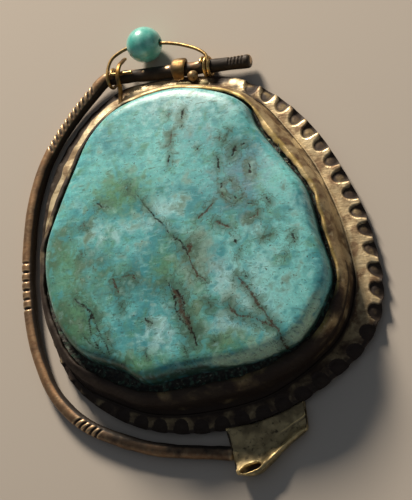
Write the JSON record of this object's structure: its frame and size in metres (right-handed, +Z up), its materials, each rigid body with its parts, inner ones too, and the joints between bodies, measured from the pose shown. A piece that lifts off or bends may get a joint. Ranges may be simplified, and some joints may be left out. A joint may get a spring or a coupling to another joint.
{
  "type": "turquoise stone pendant",
  "caption": "Polished free-form turquoise in a bronze collet with a scooped border, a notched rod round one side, and a swinging wire ring with a bead.",
  "frame": {"origin": "middle of the bounding box, on the surface that the flat back lies on", "axes": "+Z up out of the stone's face, +Y towards the wire ring and bead, +X to the right as the stone is looked at"},
  "size_m": [0.0413, 0.0524, 0.0073],
  "materials": {
    "turquoise": "stone: hand-polished turquoise, blue-green with brown matrix veins",
    "bead": "stone: smooth polished turquoise bead",
    "pitch": "dark matt setting cement and grime",
    "bronze": "aged bronze, rubbed bright on edges, dark in hollows",
    "rod_bronze": "reddish brown bronze, dull sheen",
    "brass": "drawn brass wire, bright where rubbed",
    "solder": "pale greenish corroded solder"
  },
  "bodies": {
    "setting": {"turquoise_stone": "turquoise", "setting_pitch": "pitch", "collet": "bronze", "base_plate": "bronze", "gadrooned_border": "bronze", "curved_rod": "rod_bronze", "tail_leaf": "bronze", "left_strap": "brass", "right_strap": "brass", "shot_ball": "bronze", "solder_bar": "solder", "solder_lump": "solder"},
    "ring": {"bail_ring": "brass", "turquoise_bead": "bead"}
  },
  "joints": [
    {"name": "ring_swing", "type": "hinge", "parent": "setting", "child": "ring", "pos_m": [-0.01042, 0.02123, 0.00126], "axis": [0.9986, -0.0532, 0], "range_deg": [0, 100]}
  ]
}
